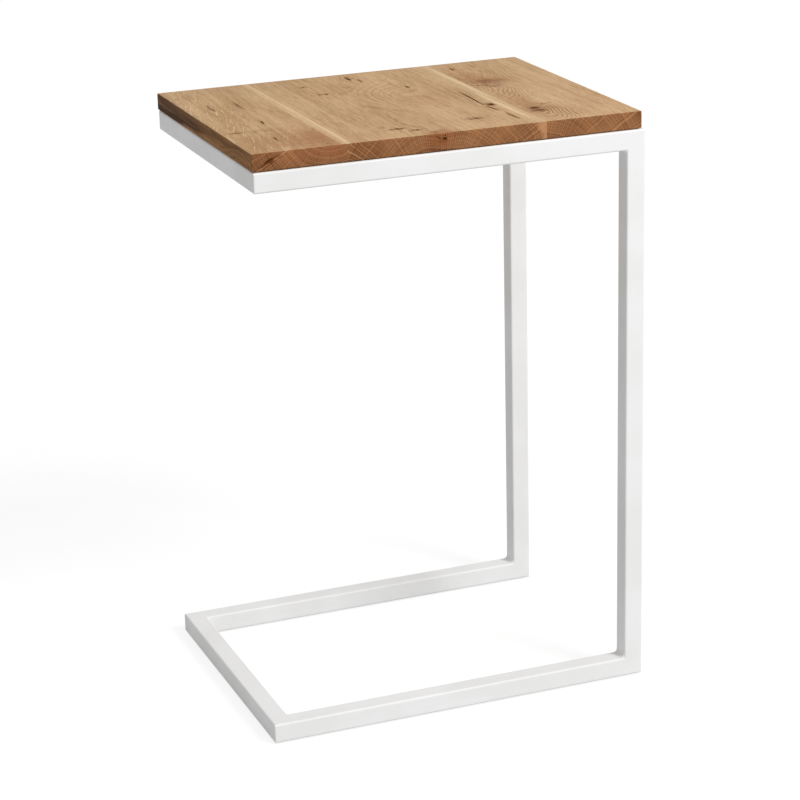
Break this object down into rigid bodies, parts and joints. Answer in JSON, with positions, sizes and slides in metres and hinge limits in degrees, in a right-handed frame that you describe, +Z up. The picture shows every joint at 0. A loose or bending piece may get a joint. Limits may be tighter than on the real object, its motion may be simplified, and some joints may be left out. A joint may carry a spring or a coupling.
{
  "type": "c shaped side table",
  "caption": "C shaped side table: a small oak top glued from staves on a white welded frame of square steel tube, open at one side so that the base slides under a sofa.",
  "frame": {"origin": "on the floor, under the middle of the table's outside box", "axes": "+X towards the two uprights, +Y to the back, +Z up; the open mouth of the C faces -X"},
  "size_m": [0.405, 0.304, 0.6],
  "materials": {
    "oak": "oiled solid oak, knots and checks",
    "white_coat": "satin white powder coat",
    "zinc_steel": "bright zinc plate",
    "felt": "pressed wool felt"
  },
  "bodies": {
    "root": {"top_stave_left": "oak", "top_stave_middle": "oak", "top_stave_right": "oak", "top_front_rail": "white_coat", "top_back_rail": "white_coat", "top_left_rail": "white_coat", "top_right_rail": "white_coat", "front_upright": "white_coat", "back_upright": "white_coat", "base_front_rail": "white_coat", "base_back_rail": "white_coat", "base_left_rail": "white_coat", "upright_foot_welds": "white_coat", "upright_head_welds": "white_coat", "base_corner_welds": "white_coat", "top_corner_welds": "white_coat", "cross_rail_welds": "white_coat", "plate_welds": "white_coat", "fixing_plate_front_left": "white_coat", "fixing_plate_front_right": "white_coat", "fixing_plate_back_left": "white_coat", "fixing_plate_back_right": "white_coat", "top_screws": "zinc_steel", "screw_washers": "zinc_steel", "floor_pad_front_left": "felt", "floor_pad_front_right": "felt", "floor_pad_back_left": "felt", "floor_pad_back_right": "felt"}
  },
  "joints": []
}
